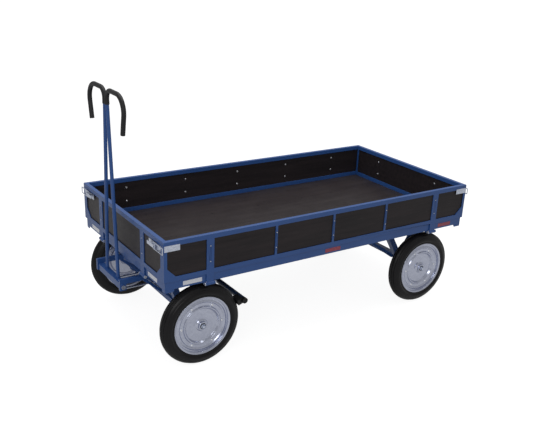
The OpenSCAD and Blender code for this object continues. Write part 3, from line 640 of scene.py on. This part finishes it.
def node_finish(node):
    """The finish of a CAD node."""
    if node == "deck":
        return "deck_film"
    if node in ("white_reflectors", "red_reflectors"):
        return node[:-1]
    if node == "brake_shoes":
        return "shoe_rubber"
    if node == "hand_grips":
        return "grip_rubber"
    for ending, finish in (("_panel", "panel_film"), ("_frame", "blue_paint"), ("_strikes", "zinc"),
                           ("_plates", "zinc"), ("bolts", "zinc"), ("_nuts", "zinc"), ("pins", "zinc"),
                           ("screws", "zinc"), ("balls", "zinc")):
        if node.endswith(ending):
            return finish
    for start, finish in (("tyre", "tyre_rubber"), ("rim", "zinc"), ("lever", "zinc"), ("bail", "zinc"),
                          ("brake_rods", "zinc")):
        if node.startswith(start):
            return finish
    return "blue_paint"


def dress_frame():
    """Gives each CAD node its finish and softens its edges."""
    for name, thing in NODES.items():
        finish = node_finish(name)
        thing.data.materials.clear()
        thing.data.materials.append(FINISHES[SPECIAL_LOOKS.get(name, finish)])
        weld = thing.modifiers.new("joined faces", "WELD")
        weld.merge_threshold = 0.002 * MM
        soften(thing, FILM_EDGE if finish in ("deck_film", "panel_film", "zinc") else STEEL_EDGE)
        thing.modifiers.new("even shading", "WEIGHTED_NORMAL").keep_sharp = True


# ---------- wheels ----------

def tyre(end, side):
    """A tyre with ribs round its tread, a shoulder line and a raised bead."""
    node = f"tyre_{end}_{side}"
    low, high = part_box(node)
    outer = (high.z - low.z) / 2
    half = (high.y - low.y) / 2
    bead = (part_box(f"rim_{end}_{side}")[1].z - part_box(f"rim_{end}_{side}")[0].z) / 2
    inner = bead - TYRE_SEAT
    crown = 14 * MM
    groove = 2.2 * MM
    depth = 3.5 * MM
    edge = half * TREAD_SHARE

    def crown_radius(y):
        return outer - crown * (y / edge) ** 2

    tread = []
    for y in TREAD_GROOVES:
        tread += [(crown_radius(y), y - groove), (crown_radius(y) - depth, y - groove * 0.6),
                  (crown_radius(y) - depth, y + groove * 0.6), (crown_radius(y), y + groove)]
        if y == TREAD_GROOVES[1]:
            tread.append((outer, 0))
    tread = [(crown_radius(edge), -edge)] + tread + [(crown_radius(edge), edge)]
    wall = [(outer - 21 * MM, half - 6.5 * MM), (outer - 23 * MM, half - 7.3 * MM),
            (outer - 26 * MM, half - 4.2 * MM), (outer - 36 * MM, half - 0.8 * MM), (outer - 44 * MM, half),
            (bead + 14 * MM, half - 1.5 * MM), (bead + 9 * MM, half - 4.5 * MM),
            (bead + 7 * MM, half - 3.0 * MM), (bead + 2 * MM, half - 3.2 * MM),
            (bead + 0.6 * MM, half - 6 * MM), (bead - 3 * MM, half - 8.4 * MM), (inner, half - 9 * MM)]
    outline = tread + wall + [(r, -y) for r, y in reversed(wall)]
    place = middle((low, high))
    piece(f"tyre_{end}_{side}_tread", lathe(rounded(outline, 4 * MM, 4), 160), "tyre_rubber",
          f"wheel_{end}_{side}", place, [node], crease=50)


def rim_outline(out, bead, half, dish, hub, hub_half):
    """Outline of the pressed rim, disc and hub, as (radius, distance outwards) points."""
    t = RIM_SHEET
    lip = 5.5 * MM
    barrel = bead - 9 * MM
    disc = [
        (barrel - t, dish + 1 * MM),
        (barrel - t - 7 * MM, dish + 1 * MM),
        (133 * MM, dish + 7.0 * MM),
        (126 * MM, dish),
        (109 * MM, dish),
        (104 * MM, dish + 8.0 * MM),
        (99 * MM, dish + 8.0 * MM),
        (91 * MM, dish - 4.0 * MM),
        (60 * MM, dish - 3.5 * MM),
        (34 * MM, dish - 4.0 * MM),
        (29 * MM, dish + 1.0 * MM),
    ]
    front = [
        (bead - lip, half - 1.5 * MM),
        (barrel + 1 * MM - t, half - 4 * MM),
        (barrel - t, half - 9 * MM),
    ]
    hub_end = [(hub, dish + 2.5 * MM), (hub, hub_half), (HUB_BORE, hub_half),
               (HUB_BORE, hub_half - 4 * MM), (AXLE_BORE, hub_half - 4 * MM), (AXLE_BORE, -hub_half),
               (hub, -hub_half), (hub, dish - 7.5 * MM)]
    back = [(r, y - t) for r, y in reversed(disc)]
    rear = [(barrel - t, -half + 9 * MM), (barrel + 1 * MM - t, -half + 4 * MM),
            (bead - lip, -half + 1.5 * MM),
            (bead - 1 * MM, -half), (bead, -half + 2.5 * MM), (bead - 4 * MM, -half + 4.5 * MM),
            (barrel + 0.2 * MM, -half + 9 * MM)]
    outer = [(barrel + 0.2 * MM, half - 9 * MM), (bead - 4 * MM, half - 4.5 * MM), (bead, half - 2.5 * MM),
             (bead - 1 * MM, half)]
    points = front + disc + hub_end + back + rear + outer
    return [(r, y * out) for r, y in points]


def rim(end, side):
    """A pressed steel rim with its disc, hub, bearing seals and the bolts that hold its halves."""
    node = f"rim_{end}_{side}"
    body = f"wheel_{end}_{side}"
    out = -1 if side == "left" else 1
    low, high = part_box(node)
    place = middle((low, high))
    bead = (high.z - low.z) / 2
    hub_half = (high.y - low.y) / 2
    half = hub_half - 2 * MM
    dish = 23 * MM
    hub = 24 * MM
    outline = rim_outline(out, bead, half, dish, hub, hub_half)
    piece(f"rim_{end}_{side}_disc", lathe(rounded(outline, 2.2 * MM, 4)), "pressed_zinc", body, place, [node],
          crease=60)
    bolts = []
    for k in range(RIM_BOLTS):
        angle = 2 * math.pi * k / RIM_BOLTS
        spot = Vector((RIM_BOLT_CIRCLE * math.cos(angle), out * dish, RIM_BOLT_CIRCLE * math.sin(angle)))
        bolts.append(moved(dome_head(RIM_BOLT_HEAD, 5 * MM), facing((0, out, 0), spot)))
        back = spot - Vector((0, out * RIM_SHEET, 0))
        bolts.append(moved(dome_head(RIM_BOLT_HEAD, 4 * MM), facing((0, -out, 0), back)))
    piece(f"rim_bolts_{end}_{side}", joined(bolts), "bright_zinc", body, place, crease=35)
    seal_in = 10.6 * MM
    seal_out = HUB_BORE - 0.2 * MM
    seal = rounded([(seal_in, hub_half - 3.9 * MM), (seal_out, hub_half - 3.9 * MM),
                    (seal_out, hub_half - 1.6 * MM), (seal_in, hub_half - 2.6 * MM)], 0.4 * MM, 2)
    piece(f"hub_seal_{end}_{side}", lathe([(r, y * out) for r, y in seal], 48), "black_plastic", body, place)


def axle_ends(end):
    """Washers, nuts and stub ends on an axle, in the space of its nuts."""
    node = f"{end}_axle_nuts"
    body = "turntable" if end == "front" else "chassis"
    parts = []
    for low, high in solids(node):
        spot = middle((low, high))
        out = 1 if spot.y > 0 else -1
        start = low.y if out > 0 else high.y
        length = high.y - low.y
        spot.y = start
        washer = rounded([(0, 0), (WASHER, 0), (WASHER, WASHER_SHEET), (0, WASHER_SHEET)], 0.4 * MM, 2)
        parts.append(moved(lathe(washer, 48), facing((0, out, 0), spot)))
        parts.append(moved(hex_head(AXLE_NUT, length * 0.72), facing((0, out, 0), spot)))
        stub = rounded([(0, 0), (STUB, 0), (STUB, length), (2.5 * MM, length),
                        (1.5 * MM, length - 2 * MM), (0, length - 2 * MM)], 1.2 * MM, 4)
        parts.append(moved(lathe(stub, 48), facing((0, out, 0), spot)))
    piece(f"axle_nuts_{end}", joined(parts), "zinc", body, replaces=[node], crease=35)


# ---------- small parts ----------

def panel_bolts(board):
    """The bolts of a board: a domed head inside and a small riveted end outside."""
    node = f"{board}_bolts"
    across = 1 if board in ("left", "right") else 0
    parts = []
    for low, high in solids(node):
        spot = middle((low, high))
        direction = Vector((0, 0, 0))
        direction[across] = 1 if spot[across] < 0 else -1
        inner = spot + direction * (high[across] - low[across]) / 2
        outer = spot - direction * (high[across] - low[across]) / 2
        head = min(high.z - low.z, 12 * MM) / 2
        parts.append(tube([outer + direction * MM, inner - direction * MM], SHANK, 16))
        parts.append(moved(dome_head(head, HEAD_HEIGHT), facing(direction, inner - direction * HEAD_HEIGHT)))
        parts.append(moved(dome_head(RIVET_END, NUT_SKIN), facing(-direction, outer + direction * NUT_SKIN)))
    piece(f"{board}_panel_bolts", joined(parts), "bright_zinc", f"{board}_board", replaces=[node], crease=50)


def brake_bar_caps():
    """Black caps over the two ends of the brake bar."""
    low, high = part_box("brake_bar")
    spot = middle((low, high))
    radius = (high.z - low.z) / 2 + CAP_SKIN
    outline = rounded([(0, 0), (radius, 0), (radius, CAP_LENGTH), (0, CAP_LENGTH)], 1.5 * MM, 4)
    parts = []
    for out, end in ((-1, low.y), (1, high.y)):
        place = Vector((spot.x, end - out * (CAP_LENGTH - CAP_SKIN), spot.z))
        parts.append(moved(lathe(outline, 40), facing((0, out, 0), place)))
    piece("brake_bar_caps", joined(parts), "black_plastic", "brake")


# ---------- drawbar ----------

def bend_points(before, corner, after, radius, steps=14):
    """Points along an arc that rounds a corner between two others."""
    u = (before - corner).normalized()
    v = (after - corner).normalized()
    half = u.angle(v) / 2
    centre = corner + (u + v).normalized() * radius / math.sin(half)
    start = (corner + u * radius / math.tan(half) - centre).normalized()
    end = (corner + v * radius / math.tan(half) - centre).normalized()
    return [centre + radius * start.slerp(end, k / steps) for k in range(steps + 1)]


def hand_grips():
    """Rubber sleeves over the hooked ends of the tubes, hollow at their mouths."""
    low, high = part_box("hand_grips")
    x = middle((low, high)).x
    radius = (high.x - low.x) / 2
    meshes = []
    for side in (-1, 1):
        foot, inside, outside, tip = [Vector((x, side * y * MM, z * MM)) for y, z in HANDLE]
        start = foot + (inside - foot).normalized() * GRIP_START
        path = [start, *bend_points(foot, inside, outside, INNER_BEND)]
        path += [*bend_points(inside, outside, tip, OUTER_BEND, 20), tip]
        meshes.append(tube(path, radius, GRIP_SIDES, radius - GRIP_WALL))
    piece("grip_sleeves", joined(meshes), "grip_rubber", "drawbar", replaces=["hand_grips"], crease=50,
          bevel=0.6 * MM)


dress_frame()
hand_grips()
for drop_side in BOARDS:
    panel_bolts(drop_side)
brake_bar_caps()
for wheel_end, wheel_side in CORNERS:
    tyre(wheel_end, wheel_side)
    rim(wheel_end, wheel_side)
for axle_end in ("front", "rear"):
    axle_ends(axle_end)


# ---------- studio ----------

FLOOR_SIZE = 60.0
FLOOR_GLOW = 0.90
FLOOR_MIRRORED = 0.40
ROOM_LIGHT = 0.42
AIM = Vector((33.55, 0, 360.7)) * MM
AZIMUTH = math.radians(-34.98)
ELEVATION = math.radians(21.89)
ROLL = math.radians(2.75)
DISTANCE = 4594.2 * MM
LENS = 49.22
SHIFT = (-0.0072, 0.0362)


def studio_floor():
    """A wide floor that looks white to the camera and pale in the metal parts."""
    mesh = bmesh.new()
    bmesh.ops.create_grid(mesh, x_segments=1, y_segments=1, size=FLOOR_SIZE / 2)
    data = bpy.data.meshes.new("floor")
    mesh.to_mesh(data)
    mesh.free()
    floor = bpy.data.objects.new("floor", data)
    bpy.context.scene.collection.objects.link(floor)
    material, tree, shader = finish_material("floor", roughness=0.9, specular_ior_level=0.0)
    patches = use(tree, "uneven_patches", "Value", scale=0.5, detail=2.0, contrast=0.5)
    tree.links.new(mixed(tree, patches, (0.34, 0.34, 0.34), (0.36, 0.36, 0.36)), shader.inputs["Base Color"])
    ray = tree.nodes.new("ShaderNodeLightPath")
    mirrored = calculate(tree, "MULTIPLY", ray.outputs["Is Glossy Ray"], FLOOR_MIRRORED)
    seen = calculate(tree, "ADD", ray.outputs["Is Camera Ray"], mirrored)
    shader.inputs["Emission Color"].default_value = (1, 1, 1, 1)
    tree.links.new(calculate(tree, "MULTIPLY", seen, FLOOR_GLOW), shader.inputs["Emission Strength"])
    data.materials.append(material)


def softbox(name, place, target, size, power):
    """A large square lamp that faces a target."""
    lamp = bpy.data.lights.new(name, "AREA")
    lamp.shape = "RECTANGLE"
    lamp.size, lamp.size_y = size
    lamp.energy = power
    thing = bpy.data.objects.new(name, lamp)
    bpy.context.scene.collection.objects.link(thing)
    thing.location = place
    thing.rotation_euler = (Vector(target) - Vector(place)).to_track_quat("-Z", "Y").to_euler()


def studio_light():
    """A dim room that looks white to the camera, a broad lamp overhead and one at the front left."""
    world = bpy.data.worlds.new("white room")
    bpy.context.scene.world = world
    world.use_nodes = True
    glow = world.node_tree.nodes["Background"]
    glow.inputs["Color"].default_value = (1.0, 1.0, 1.0, 1)
    ray = world.node_tree.nodes.new("ShaderNodeLightPath")
    strength = spread(world.node_tree, ray.outputs["Is Camera Ray"], 0, 1, ROOM_LIGHT, 1)
    world.node_tree.links.new(strength, glow.inputs["Strength"])
    softbox("overhead", (0.2, 0.4, 4.2), (0, 0, 0.3), (4.0, 2.5), 75)
    softbox("front_left", (-3.2, -3.4, 2.6), (0, 0, 0.5), (2.2, 1.6), 32)


def studio_camera():
    """The camera, turned round the aim point and rolled a little."""
    back = Vector((math.sin(AZIMUTH) * math.cos(ELEVATION), -math.cos(AZIMUTH) * math.cos(ELEVATION),
                   math.sin(ELEVATION)))
    level = (-back).cross(Vector((0, 0, 1))).normalized()
    upright = back.cross(level)
    right = level * math.cos(ROLL) + upright * math.sin(ROLL)
    up = upright * math.cos(ROLL) - level * math.sin(ROLL)
    data = bpy.data.cameras.new("camera")
    data.lens = LENS
    data.shift_x, data.shift_y = SHIFT
    data.clip_end = 200
    camera = bpy.data.objects.new("camera", data)
    bpy.context.scene.collection.objects.link(camera)
    turn = Matrix((right, up, back)).transposed().to_4x4()
    camera.matrix_world = Matrix.Translation(AIM + back * DISTANCE) @ turn
    bpy.context.scene.camera = camera


studio_floor()
studio_light()
studio_camera()
bpy.context.scene.view_settings.view_transform = "Standard"
